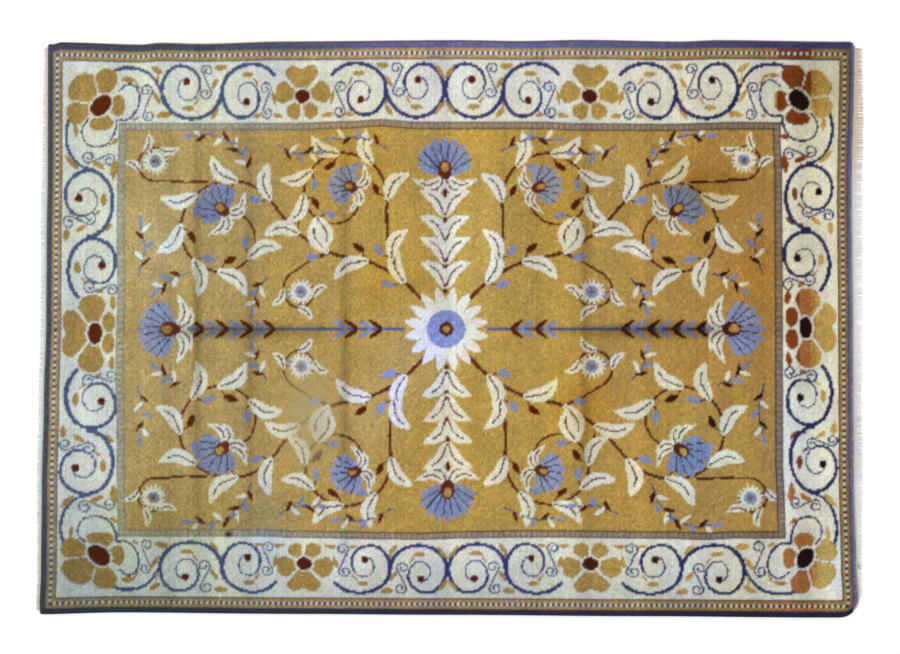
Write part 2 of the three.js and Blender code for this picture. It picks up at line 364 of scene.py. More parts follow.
def smooth(low, high, value):
    """Goes from 0 to 1 between two values, with soft ends."""
    share = np.clip((value - low) / (high - low), 0, 1)
    return share * share * (3 - 2 * share)


def heading(degrees):
    """The unit vector that points that way."""
    return np.array([np.cos(np.radians(degrees)), np.sin(np.radians(degrees))])


def curve(points, steps=10):
    """A smooth path through a few points, with steps between each two."""
    points = np.asarray(points, float)
    ends = np.vstack([2 * points[0] - points[1], points, 2 * points[-1] - points[-2]])
    share = np.linspace(0, 1, steps, endpoint=False)[:, None]
    parts = []
    for before, start, end, after in zip(ends, ends[1:], ends[2:], ends[3:]):
        bend = 2 * before - 5 * start + 4 * end - after
        turn = 3 * (start - end) + after - before
        parts.append(start + share * ((end - before) + share * (bend + share * turn)) / 2)
    return np.vstack([*parts, points[-1:]])


def coil(centre, outer, inner, angle, turned, steps=60):
    """A path that winds from one reach to another, from an angle and turned by so many degrees."""
    share = np.linspace(0, 1, steps)[:, None]
    reach = np.add(outer, np.subtract(inner, outer) * share)
    around = np.radians(angle + turned * share)
    return centre + reach * np.hstack([np.cos(around), np.sin(around)])


def leaf(chart, base, tip, width, wool, bend=0.0, rib=None):
    """A pointed leaf from base to tip, bent to one side, with or without a rib."""
    base = np.asarray(base, float)
    along = np.asarray(tip, float) - base
    side = np.array([-along[1], along[0]])
    path = curve([base, base + along / 2 + side * bend, base + along], 8)
    # It is fullest a little before its middle, blunt at the base and sharp at the tip
    fullness = np.sin(np.pi * np.linspace(0.06, 0.97, 9) ** 0.85) ** 0.8
    chart.stroke(path, width * fullness, wool)
    if rib is not None:
        chart.stroke(path[: int(len(path) * 0.8)], [LINE], rib)


def turning(turns, marks):
    """A place that swings from one turning point to the next, one for every half turn."""
    marks = np.asarray(marks)
    half = np.clip(np.floor(turns * 2).astype(int), 0, len(marks) - 2)
    swing = 0.5 - 0.5 * np.cos(np.pi * (turns * 2 - half))
    return marks[half] + swing * (marks[half + 1] - marks[half])


def tendril(chart, near, far, way, hand):
    """A thin line with a curl at each end, both wound the same way."""
    first, last = (coil(centre, size, size * CURL_END, angle, hand * CURL_TURN, 26)
                   for centre, size, angle in ((near, 29, way), (far, 28, way + 180)))
    chart.stroke(np.vstack([first[::-1], last]), [8.6], "slate")


def scroll(chart, centre, a, b, first=1.15, ring=0.29, start=0.0, leaves=()):
    """A scroll of the border with its tendril and leaves.

    It starts thick at the end of a, turns towards b and winds inwards. First and ring are how
    far it reaches along a at its start and one turn later.
    """
    centre = np.array(centre, float)
    a = np.array(a, float)
    b = np.array(b, float)

    def place(p, q):
        return centre + p * a + q * b

    for root, tip, width in (INNER_LEAF, *leaves):
        leaf(chart, place(*root), place(*tip), width, "gold")
    chart.stroke([place(ring - 0.18, 0.47), place(ring - 0.05, 0.26)], [10], "gold")
    turns = np.linspace(start, LAST_TURN, 120)
    along = turning(turns, [first, TURNS_ALONG[1], ring, *TURNS_ALONG[3:]])
    across = turning(turns + 0.25, TURNS_ACROSS)
    path = np.array([place(p, q) for p, q in zip(along, across)])
    # The first part is a thick stem, and the rest a thread that runs into it
    chart.stroke(path[:70], [18, 18.5, 18, 17, 15, 12], "navy")
    chart.stroke(path[68:], [LINE], "thread")
    chart.ellipse(path[-1], (17, 19), 0, "brown")
    hand = np.sign(a[0] * b[1] - a[1] * b[0])
    way = np.degrees(np.arctan2(a[1], a[0]))
    # In a closed scroll the tendril sits a little further in
    closed = 0.06 if start == 0 else 0
    tendril(chart, place(0.55 - closed, 0.1 - closed), place(0.5 + ring / 2 - closed, -0.86), way, hand)


def rosette(chart, centre, petals, heart, turn):
    """A flower of broad gold petals round a dark heart."""
    most = max(petal[2] for petal in petals)
    part, x, y = chart.window(np.subtract(centre, most), np.add(centre, most))
    far = np.hypot(x - centre[0], y - centre[1])
    around = np.degrees(np.arctan2(y - centre[1], x - centre[0]))
    for angle, half, reach, notch in petals:
        turned = np.radians((around - angle + 180) % 360 - 180)
        off = np.abs(turned) / np.radians(half)
        length = (far * np.cos(turned) / reach - PETAL_MIDDLE) / (1 - PETAL_MIDDLE)
        widest = min(PETAL_FLARE * np.tan(np.radians(half)), PETAL_WIDEST)
        width = far * np.sin(turned) / (reach * widest)
        rim = reach * (1 - notch * np.exp(-((off / NOTCH_WIDTH) ** 2)))
        split = far * np.sin(np.radians(np.clip(half * (1 - off), 0, 90)))
        body = np.maximum(length, 0) ** PETAL_POWER + np.abs(width) ** PETAL_POWER < 1
        chart.wool[part][(off < 1) & body & (far < rim) & (split > PETAL_GAP)] = WOOLS.index("gold")
    chart.ellipse(centre, np.add(heart, HEART_RIM), turn, "cream")
    chart.ellipse(centre, heart, turn, "dark")


def border(chart):
    """The running scroll on the cream ground, and the flowers that break it."""
    scroll(chart, (145, BORDER_Y - 4), (120, 0), (0, -115), 0.95, leaves=CLOSED_LEAVES)
    scroll(chart, (400, BORDER_Y), (118, 0), (0, 115), start=0.1, leaves=OPEN_LEAVES)
    scroll(chart, (889, BORDER_Y), (-118, 0), (0, 115), start=0.1, leaves=OPEN_LEAVES)
    scroll(chart, (1165, BORDER_Y - 4), (-120, 0), (0, -115), 1.13, leaves=CLOSED_LEAVES)
    scroll(chart, (BORDER_X, 284), (0, -125), (97, 0), ring=0.44, start=0.1, leaves=SIDE_LEAVES)
    scroll(chart, (BORDER_X + 14, 584), (0, -124), (-99, 0), ring=0.44, leaves=CLOSED_LEAVES)
    for side in (-1, 1):
        leaf(chart, (3, BORDER_Y + side * 55), (48, BORDER_Y + side * 117), 19, "gold")
    top = [(1262, 985), (1290, 1029), (1311, 1078), (1340, 1127), (1372, 1159), (1407, 1175),
           (1453, 1182), (1500, 1178), (1546, 1162)]
    chart.stroke(curve(top), [13, 15.5, 16, 16], "navy")
    stem = coil((1622, 888), (107, 149), (107, 149), -92, 132, 40)
    chart.stroke(stem, [14, 15, 14], "navy")
    link = [(1505, 1084), (1465, 1110), (1430, 1101), (1410, 1061), (1416, 1009), (1442, 968), (1476, 952),
            (1513, 952), (1517, 922), (1529, 888), (1552, 853), (1600, 838), (1642, 853), (1662, 896),
            (1655, 931), (1632, 959)]
    chart.stroke(curve(link), [8.5, 9.5, 11, 11, 10.5, 8.5, 8], "navy")
    tendril(chart, (1378, 1077), (1366, 965), 180, -1)
    tendril(chart, (1632, 793), (1545, 777), -90, 1)
    chart.stroke([(1323, 1143), (1321, 1103)], [9], "gold")
    chart.stroke([(1414, 1098), (1424, 1119), (1442, 1137)], [12, 8], "gold")
    for root, tip, width in CORNER_LEAVES:
        leaf(chart, root, tip, width, "gold")
    for side in (-1, 1):
        leaf(chart, (645 + side * 140, BORDER_Y - 108), (645 + side * 92, BORDER_Y - 115), 23, "gold")
    rosette(chart, (645, BORDER_Y - 25), LONG_PETALS, (36, 32), 0)
    rosette(chart, (BORDER_X - 12, 0), SIDE_PETALS, (31, 49), 0)
    for side in (-1, 1):
        chart.ellipse((BORDER_X - 73, side * 50), (29, 46), -side * 4, "gold")
    rosette(chart, (1582, 1020), CORNER_PETALS, (53, 37), 126)


def frames(whole):
    """The stripes round the field and round the border, and the steps of the two stepped ones.

    At the near side they lie one knot further out.
    """
    row = np.arange(ROWS)[:, None] - ROWS // 2
    knot = np.arange(KNOTS)[None, :] - KNOTS // 2
    row = np.where(row < 0, -row - 1, row)
    knot = np.where(knot < 0, -knot - 2, knot)
    odd_rows = (row + 1) // 2 % 2 == 0
    odd_knots = (knot + 1) // 2 % 2 == 0
    for outer, inner in zip(FRAMES, FRAMES[1:]):
        ends = (row < outer[0]) & (knot < outer[1]) & (row >= inner[0])
        sides = (row < inner[0]) & (knot < outer[1]) & (knot >= inner[1])
        if outer[2] != "cream":
            whole[ends | sides] = WOOLS.index(outer[2])
        if outer[2] in STEPPED:
            whole[(ends & odd_knots) | (sides & odd_rows)] = WOOLS.index(STEPPED[outer[2]])
    return (row < FRAMES[-1][0]) & (knot < FRAMES[-1][1])


def leafy(chart, path, places, length):
    """Curved cream leaves along a stem, at pairs of share and side. Each has a bud across from it."""
    for order, (share, side) in enumerate(places):
        index = int(share * (len(path) - 2))
        root = path[index]
        way = path[index + 1] - root
        ahead = np.degrees(np.arctan2(way[1], way[0]))
        bud = root + length * 0.3 * heading(ahead - side * 60)
        chart.stroke([root, bud], [LINE], "madder")
        wool = ("blue", "dark")[order % 2]
        leaf(chart, bud, bud + length * 0.36 * heading(ahead - side * 22), length * 0.2, wool)
        tip = root + length * heading(ahead + side * 44)
        leaf(chart, root, tip, length * 0.42, "cream", -0.17 * side, "madder")


def palmette(chart, base, way, reach, spread, petals, wool):
    """A fan of petals with dark veins between them, and two leaves at either side of its brown cup."""
    base = np.asarray(base, float)
    angles = way + np.linspace(-spread, spread, petals)
    outermost = (petals - 1) / 2
    wide = 0.98 * np.radians(spread / outermost)
    for side in (-1, 1):
        for turn, far in ((30, 0.86), (62, 0.66)):
            tip = base + reach * far * heading(way + side * (spread + turn))
            leaf(chart, base, tip, reach * 0.24, "cream", 0.22 * side, "madder")
    for order, angle in enumerate(angles):
        length = reach * (1 - 0.22 * ((order - outermost) / outermost) ** 2)
        middle = base + heading(angle) * length * 0.6
        chart.ellipse(middle, (length * 0.42, length * wide / 2), angle, wool)
    for angle in (angles[1:] + angles[:-1]) / 2:
        vein = [base + heading(angle) * reach * 0.3, base + heading(angle) * reach * 0.84]
        chart.stroke(vein, [LINE - 2], "night")
    chart.ellipse(base + heading(way) * reach * 0.16, (reach * 0.26, reach * 0.19), way, "madder")
    chart.ellipse(base + heading(way) * reach * 0.24, (reach * 0.13, reach * 0.1), way, "gold")


def spray(chart, base, way, size):
    """A thin stem with small buds at both sides of it."""
    base = np.asarray(base, float)
    tip = base + size * heading(way)
    side = size * 0.1 * heading(way + 90)
    path = curve([base, base + (tip - base) / 2 + side, tip], 8)
    chart.stroke(path, [LINE], "slate")
    buds = ((0.2, 52), (0.36, -48), (0.55, 50), (0.7, -46), (0.86, 44), (0.98, -10))
    for order, (share, turn) in enumerate(buds):
        root = path[int(share * (len(path) - 1))]
        wool = ("dark", "cream", "blue")[order % 3]
        leaf(chart, root, root + 52 * heading(way + turn), 19, wool)


def sunflower(chart, centre, reach):
    """A rayed flower with cream petals round a blue heart."""
    centre = np.asarray(centre, float)
    for angle in np.arange(0, 360, 22.5) + 11.25:
        tip = centre + heading(angle) * reach
        leaf(chart, centre + heading(angle) * reach * 0.42, tip, reach * 0.24, "cream")
    for size, wool in ((0.56, "cream"), (0.46, "blue")):
        chart.ellipse(centre, (reach * size, reach * size), 0, wool)
    for angle in np.arange(0, 360, 45):
        spot = centre + heading(angle) * reach * 0.3
        chart.ellipse(spot, (reach * 0.12, reach * 0.075), angle, "lilac")
    for size, wool in ((0.18, "madder"), (0.08, "gold")):
        chart.ellipse(centre, (reach * size, reach * size), 0, wool)


def field(chart):
    """Vines that wind out from the middle, with curved leaves, buds and palmettes."""
    wave = curve([(80, 105), (190, 215), (340, 300), (520, 345), (660, 430), (740, 510)])
    wave = np.vstack([wave, coil((1010, 430), 262, 96, 142, -412)])
    inner = np.vstack([curve([(190, 215), (240, 310), (258, 420)]), coil((480, 600), 228, 84, 198, -400)])
    small = np.vstack([curve([(520, 345), (600, 315)]), coil((655, 170), 94, 34, 62, -380)])
    corner = np.vstack([curve([(1095, 668), (1190, 664)]), coil((1335, 758), 92, 34, 250, 380)])
    chart.stroke(small, [11, 11, LINE], "madder")
    chart.stroke(corner, [11, 11, LINE], "madder")
    chart.stroke(inner, [16, 14, 12, 10], "madder")
    chart.stroke(wave, [17, 16, 14, 12, 10], "madder")
    leafy(chart, wave, ((0.1, 1), (0.2, -1), (0.29, 1), (0.38, -1), (0.47, 1), (0.53, 1), (0.59, 1),
                        (0.65, 1), (0.71, 1), (0.77, 1), (0.84, 1)), 158)
    leafy(chart, inner, ((0.14, 1), (0.3, 1), (0.39, 1), (0.48, 1), (0.56, 1), (0.64, 1), (0.73, 1)), 146)
    leafy(chart, small, ((0.3, 1), (0.48, 1), (0.66, 1)), 84)
    leafy(chart, corner, ((0.36, -1), (0.52, -1), (0.68, -1)), 84)
    palmette(chart, wave[-1], 42, 150, 62, 7, "blue")
    palmette(chart, inner[-1], 20, 132, 62, 7, "lilac")
    sunflower(chart, (655, 170), 60)
    sunflower(chart, (1335, 758), 60)
    stem = curve([(3, 170), (3, 400), (3, 700)])
    chart.stroke(stem, [14, 12], "madder")
    leafy(chart, stem, ((0.1, -1), (0.32, -1), (0.54, -1), (0.76, -1)), 150)
    palmette(chart, (0, 690), 90, 170, 66, 9, "blue")
    axis = curve([(190, 3), (600, 3), (1230, 3)])
    chart.stroke(axis, [12, 9], "slate")
    for place in (290, 400, 780, 890, 1000, 1110):
        leaf(chart, (place, 3), (place + 62, 46), 20, "dark")
        leaf(chart, (place + 44, 3), (place + 106, 42), 20, "blue")
    palmette(chart, (1235, 0), 0, 180, 62, 9, "lilac")
    for base, way, size in (((1410, 250), 92, 240), ((900, 700), 58, 170), ((250, 800), 12, 260),
                            ((820, 230), -64, 150), ((1190, 250), -30, 150), ((760, 830), 190, 190),
                            ((960, 835), 10, 220)):
        spray(chart, base, way, size)
    sunflower(chart, (0, 0), 190)


def whole_chart():
    """The wool of every knot of the carpet, row by row, with the design laid out as it was woven."""
    x = ROW_MIDDLES[:, None]
    y = KNOT_MIDDLES[None, :]
    # The places that hold at two opposite sides run into each other between them
    far = smooth(-800, 800, y)
    drawn_x = far * np.interp(x, WOVEN_FAR, DRAWN_X) + (1 - far) * np.interp(x, WOVEN_NEAR, DRAWN_X)
    left, right = smooth(-1250, -1600, x), smooth(1250, 1600, x)
    out = np.where(y > 0, np.interp(y, WOVEN_FAR_OUT, DRAWN_OUT), np.interp(-y, WOVEN_NEAR_OUT, DRAWN_OUT))
    out = np.where(np.abs(y) < DRAWN_OUT[0], np.abs(y), out)
    drawn_y = (left * np.interp(y, WOVEN_LEFT, DRAWN_Y) + right * np.interp(y, WOVEN_RIGHT, DRAWN_Y)
               + (1 - left - right) * out)
    ground = Chart("ochre", FRAMES[-1][0] + 4, FRAMES[-1][1] + 4)
    field(ground)
    edging = Chart("cream", ROWS // 2 + 8, KNOTS // 2 + 4)
    border(edging)
    whole = edging.look_up(drawn_x, drawn_y)
    inside = frames(whole)
    whole[inside] = ground.look_up(drawn_x, drawn_y)[inside]
    # The gold dye ran out near the right end, and other lots came in among it
    chance = np.random.default_rng(2).uniform(0, 1, whole.shape)
    for low, high, lot, share in RUST_ROWS:
        gold = np.isin(whole, [WOOLS.index("gold"), WOOLS.index("bronze")])
        whole[(x > low) & (x < high) & gold & (chance < share)] = WOOLS.index(lot)
    lowest, reach, start = COPPER_LIMITS
    paler = (y < lowest) | ((np.abs(y) < reach) & (x > start))
    whole[paler & (whole == WOOLS.index("rust"))] = WOOLS.index("copper")
    # The outermost rows and knots, where the bronze and the band are in other lots
    for rows, knots, old, new in ((slice(-6, None), slice(None), "bronze", "russet"),
                                  (slice(None), slice(0, 3), "band", "night"),
                                  (slice(-3, None), slice(3, None), "band", "iris")):
        part = whole[rows, knots]
        part[part == WOOLS.index(old)] = WOOLS.index(new)
    return whole


def eased(table, place):
    """Values read from a table of places, eased from each row to the next."""
    along, out = np.array(table, float).T
    after = np.clip(np.searchsorted(along, place, side="right"), 1, len(along) - 1)
    share = smooth(along[after - 1], along[after], place)
    return out[after - 1] + share * (out[after] - out[after - 1])


def lay(u, v):
    """Where points of the nominal pile rectangle lie on the floor."""
    far = np.where(u > 0, CORNERS["far right"], CORNERS["far left"])
    near = np.where(u > 0, CORNERS["near right"], CORNERS["near left"])
    radius = np.where(v > 0, far, near)
    a = np.clip(1 + (np.abs(u) - HALF_LENGTH) / radius, 0, 1)
    b = np.clip(1 + (np.abs(v) - HALF_WIDTH) / radius, 0, 1)
    corner = (a > 0) & (b > 0)
    length = np.where(corner, HALF_LENGTH - radius + radius * a * np.sqrt(1 - b * b / 2), np.abs(u))
    width = np.where(corner, HALF_WIDTH - radius + radius * b * np.sqrt(1 - a * a / 2), np.abs(v))
    out_x = np.where(u < 0, eased(LEFT_EDGE, v), eased(RIGHT_EDGE, v))
    out_y = np.where(v < 0, eased(NEAR_EDGE, u), eased(FAR_EDGE, u))
    out_frame = np.where(v < 0, eased(NEAR_FRAME, u), eased(FAR_FRAME, u))
    end_frame = np.where(u < 0, eased(LEFT_FRAME, v), eased(RIGHT_FRAME, v))
    share = width / HALF_WIDTH
    along = length / HALF_LENGTH
    out_frame *= smooth(*SIDE_FRAME_PLACE[:2], share) * (1 - smooth(*SIDE_FRAME_PLACE[1:], share))
    end_frame *= smooth(*END_FRAME_PLACE[:2], along) * (1 - smooth(*END_FRAME_PLACE[1:], along))
    x = np.sign(u) * (length + out_x * along ** WANDER_DECAY + end_frame)
    y = np.sign(v) * (width + out_y * share ** WANDER_DECAY + out_frame)
    return np.stack([x, y], -1)


def edge(side, places, out=0.0):
    """Points along one side of the pile, moved outwards by a distance."""
    if side in ("left", "right"):
        points = lay(np.full_like(places, HALF_LENGTH if side == "right" else -HALF_LENGTH), places)
    else:
        points = lay(places, np.full_like(places, HALF_WIDTH if side == "far" else -HALF_WIDTH))
    ahead = np.gradient(points, axis=0)
    ahead /= np.linalg.norm(ahead, axis=1)[:, None]
    outward = np.stack([ahead[:, 1], -ahead[:, 0]], 1)
    if side in ("left", "far"):
        outward = -outward
    return points + out * outward


def shift_to_frame():
    """What moves the carpet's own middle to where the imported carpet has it."""
    across = np.linspace(-HALF_WIDTH, HALF_WIDTH, KNOTS + 1)
    along = np.linspace(-HALF_LENGTH, HALF_LENGTH, ROWS + 1)
    outline = np.vstack([
        edge("left", across, ENDS["left"]["strip"]),
        edge("right", across, ENDS["right"]["strip"]),
        edge("near", along),
        edge("far", along),
    ])
    low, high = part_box("knotted_carpet")
    packed = np.array((low + high) / 2)[:2] / MM
    return packed - (outline.min(0) + outline.max(0)) / 2


def swell(points, waves, shortest, longest, seed):
    """A gentle uneven surface from a few plane waves at random, mostly within one each way."""
    chance = np.random.default_rng(seed)
    total = np.zeros(points.shape[:-1])
    for _ in range(waves):
        way = heading(chance.uniform(0, 360)) * 2 * np.pi / chance.uniform(shortest, longest)
        total += np.sin(points @ way + chance.uniform(0, 2 * np.pi))
    return total / np.sqrt(waves)


def pile_surface():
    """Where each corner between the knots lies, and how high the shorn pile stands there."""
    u = (np.arange(ROWS + 1) - ROWS / 2) * ROW_PITCH
    points = lay(*np.meshgrid(u, KNOT_LINES, indexing="ij"))
    height = PILE_HEIGHT - 2 * SHORN + SWELL * swell(points, 12, 140, 520, 3)
    for runs, at, depth, half_span in CREASES:
        across = points[..., 1 if runs == "x" else 0] - at
        height -= depth * np.clip(1 - (across / half_span) ** 2, 0, 1)
    chance = np.random.default_rng(4)
    height += chance.uniform(-SHORN, SHORN, height.shape)
    rim = np.ones(height.shape, bool)
    rim[1:-1, 1:-1] = False
    points[~rim] += chance.normal(0, UNEVENNESS, (rim.size - rim.sum(), 2)).clip(-2, 2)
    return points, np.where(rim, PILE_HEIGHT - RIM_DROP, height)


def values_of(collection, name, size):
    """One value of every vertex, face or corner of a mesh, as rows of an array."""
    values = np.empty(len(collection) * size, np.float32)
    collection.foreach_get(name, values)
    return values.reshape(-1, size)


def corners_of(mesh):
    """The vertex and the face of every corner."""
    vertex = np.empty(len(mesh.loops), np.int32)
    mesh.loops.foreach_get("vertex_index", vertex)
    totals = np.empty(len(mesh.polygons), np.int32)
    mesh.polygons.foreach_get("loop_total", totals)
    return vertex, np.repeat(np.arange(len(totals)), totals)


def add_map(mesh, name, u, v):
    """A map from two numbers for each corner."""
    spots = np.stack([u, v], 1).astype(np.float32)
    mesh.uv_layers.new(name=name).data.foreach_set("uv", spots.ravel())


def dyed_knots(chart):
    """The colour of every knot, from three lots of dye that run into each other along the carpet."""
    lots = np.array([[to_linear(code) for code in DYES[name]] for name in WOOLS])[chart]
    place = ROW_MIDDLES[:, None, None]
    colour = lots[:, :, 0]
    for lot, change in enumerate(LOT_CHANGES, 1):
        share = smooth(*change, place)
        colour = colour * (1 - share) + lots[:, :, lot] * share
    # Dyed wool takes its colour unevenly from knot to knot, and pale wool shows less of that
    chance = np.random.default_rng(5)
    pale = np.isin(chart, [WOOLS.index("cream"), WOOLS.index("white")])
    uneven = chance.normal(0, 1, chart.shape) * np.where(pale, UNEVEN_PALE, UNEVEN_DYE)
    colour[..., :3] *= np.exp(uneven[..., None] + chance.normal(0, UNEVEN_HUE, (*chart.shape, 3)))
    return colour


def mark_dyes(mesh, knots, loom):
    """Gives each face the colour of the knot at its middle, and each vertex the mean of those round it.

    The flat strips and the top of the ground are in undyed wool. The loom's places are kept as a map.
    """
    vertex, face = corners_of(mesh)
    add_map(mesh, "Loom", *loom[vertex].T)
    middle = values_of(mesh.polygons, "center", 3)
    row = np.clip(middle[:, 0] + ROWS / 2, 0, ROWS - 1).astype(int)
    knot = np.clip(middle[:, 1] + KNOTS / 2, 0, KNOTS - 1).astype(int)
    own = knots[row, knot]
    for lot, way in ((0, -1), (2, 1)):
        own[middle[:, 0] * way > ROWS / 2 + STRIP_STARTS] = to_linear(DYES["tan"][lot])
    own[middle[:, 2] > STRIP_STARTS] = to_linear(DYES["tan"][1])
    wide = np.pad(knots, ((1, 1), (1, 1), (0, 0)), "edge")
    mingled = (wide[1:, 1:] + wide[:-1, 1:] + wide[1:, :-1] + wide[:-1, :-1]) / 4
    corner = np.clip(np.rint(loom + (ROWS / 2, KNOTS / 2)), 0, (ROWS, KNOTS)).astype(int)
    mingled = mingled[corner[:, 0], corner[:, 1]]
    for name, domain, colours in (("dye", "FACE", own), ("mingled", "POINT", mingled)):
        colours = np.ascontiguousarray(colours, np.float32)
        mesh.attributes.new(name, "FLOAT_COLOR", domain).data.foreach_set("color", colours.ravel())
    return vertex, middle[face]


def put(name, data):
    """Puts a new object with a mesh, a curve, a lamp or a camera into the scene."""
    item = bpy.data.objects.new(name, data)
    bpy.context.scene.collection.objects.link(item)
    return item


def lay_down(mesh, points, height, smooth_faces=True):
    """Moves a mesh's vertices to their places on the floor, and makes it a piece of the carpet."""
    placed = np.column_stack([points, height]).astype(np.float32) * MM
    mesh.vertices.foreach_set("co", placed.ravel())
    mesh.polygons.foreach_set("use_smooth", np.full(len(mesh.polygons), smooth_faces))
    mesh.update()
    return put(mesh.name, mesh)


def to_mesh(bm, name):
    mesh = bpy.data.meshes.new(name)
    bm.to_mesh(mesh)
    bm.free()
    return mesh


SIDE = 1.5  # on the loom's map the pile's sides reach this many knots further out
STRIP = 2  # and the ground's flat strips this many rows
STRIP_STARTS = 0.9  # the middle of a face in undyed wool lies further out or higher than this
CUT = 61  # the pile is in three strips, cut this many knots to either side of the middle
# A bake's map keeps a margin round its rim
MARGIN = 0.01
SPAN = 1 - 2 * MARGIN


def pile_strip(name, knots, surface, shift, first, last):
    """A third of the pile, between two lines of knots: a face for each knot, and the sides."""
    bm = bmesh.new()
    bmesh.ops.create_grid(bm, x_segments=ROWS, y_segments=last - first, size=0.5)
    bmesh.ops.scale(bm, vec=(ROWS, last - first, 1), verts=bm.verts)
    bmesh.ops.translate(bm, vec=(0, (first + last) / 2, 0), verts=bm.verts)

    def outside(vert):
        return abs(vert.co.x) > ROWS / 2 - 0.1, abs(vert.co.y) > KNOTS / 2 - 0.1

    rim = []
    for line in bm.edges:
        one, other = (outside(vert) for vert in line.verts)
        if line.is_boundary and (one[0] and other[0] or one[1] and other[1]):
            rim.append(line)
    sides = bmesh.ops.extrude_edge_only(bm, edges=rim)["geom"]
    for vert in sides:
        if isinstance(vert, bmesh.types.BMVert):
            end, edge_line = outside(vert)
            vert.co += Vector((np.sign(vert.co.x) * SIDE * end, np.sign(vert.co.y) * SIDE * edge_line, 0))
    mesh = to_mesh(bm, name)
    loom = values_of(mesh.vertices, "co", 3)[:, :2]
    vertex, middle = mark_dyes(mesh, knots, loom)
    # The bake's map lays the two halves of the strip one above the other
    half = (ROWS / 2 + SIDE) * ROW_PITCH
    right = middle[:, 0] > 0
    along = (loom[vertex, 0] + np.where(right, 0, ROWS / 2 + SIDE)) * ROW_PITCH / half
    across = (loom[vertex, 1] - first + SIDE) * KNOT_PITCH / half
    add_map(mesh, "OFBake", MARGIN + SPAN * along, SPAN * across + np.where(right, 0.505, MARGIN))
    row, knot = np.clip(np.rint(loom + (ROWS / 2, KNOTS / 2)), 0, (ROWS, KNOTS)).astype(int).T
    points, height = surface
    side = (np.abs(loom) > np.array([ROWS, KNOTS]) / 2 + 0.1).any(1)
    height = np.where(side, WEB_HEIGHT - CLEARANCE, height[row, knot])
    return lay_down(mesh, points[row, knot] + shift, height)


def ground_weave(knots, shift):
    """The woven ground under the pile, with the backs of the knots below and a flat strip at each end."""
    bm = bmesh.new()
    bmesh.ops.create_grid(bm, x_segments=ROWS // 2 + STRIP, y_segments=KNOTS // 2, size=0.5)
    bmesh.ops.scale(bm, vec=(ROWS + 2 * STRIP, KNOTS, 1), verts=bm.verts)
    rim = [line for line in bm.edges if line.is_boundary]
    raised = bmesh.ops.extrude_edge_only(bm, edges=rim)["geom"]
    top = [part for part in raised if isinstance(part, bmesh.types.BMEdge)]
    bmesh.ops.translate(bm, vec=(0, 0, 1), verts=list({vert for line in top for vert in line.verts}))
    bmesh.ops.contextual_create(bm, geom=top)
    bmesh.ops.recalc_face_normals(bm, faces=bm.faces)
    mesh = to_mesh(bm, "ground_weave")
    loom = values_of(mesh.vertices, "co", 3)
    vertex, middle = mark_dyes(mesh, knots, loom[:, :2])
    # The bake's map has the underside in its lower seven tenths, and the top and the sides above it
    along = loom[vertex, 0] / (ROWS + 2 * STRIP) + 0.5
    across = loom[vertex, 1] / KNOTS + 0.5
    across = np.where(middle[:, 2] > 0.1, 0.73 + 0.25 * across, MARGIN + 0.69 * across)
    add_map(mesh, "OFBake", MARGIN + SPAN * along, across)
    nominal = loom[:, :2] * (ROW_PITCH, KNOT_PITCH)
    points = lay(np.clip(nominal[:, 0], -HALF_LENGTH, HALF_LENGTH), nominal[:, 1])
    line = np.rint(loom[:, 1] + KNOTS / 2).astype(int)
    for side, end in ENDS.items():
        outer = loom[:, 0] * end["way"] > ROWS / 2 + 1
        points[outer] = edge(side, KNOT_LINES, end["strip"])[line[outer]]
    return lay_down(mesh, points + shift, loom[:, 2] * WEB_HEIGHT, smooth_faces=False)


WRAP_RINGS = 4  # for each turn of the wool round the cord of a long side
RINGS = ROWS * WRAP_RINGS
WRAP_DEPTH = 0.11  # of the groove between two turns, in shares of the cord's thickness
CORD_END = 0.6  # the share of its thickness that a cord ends with
FOLDS = 16  # the bake's map folds a cord's length into this many lines


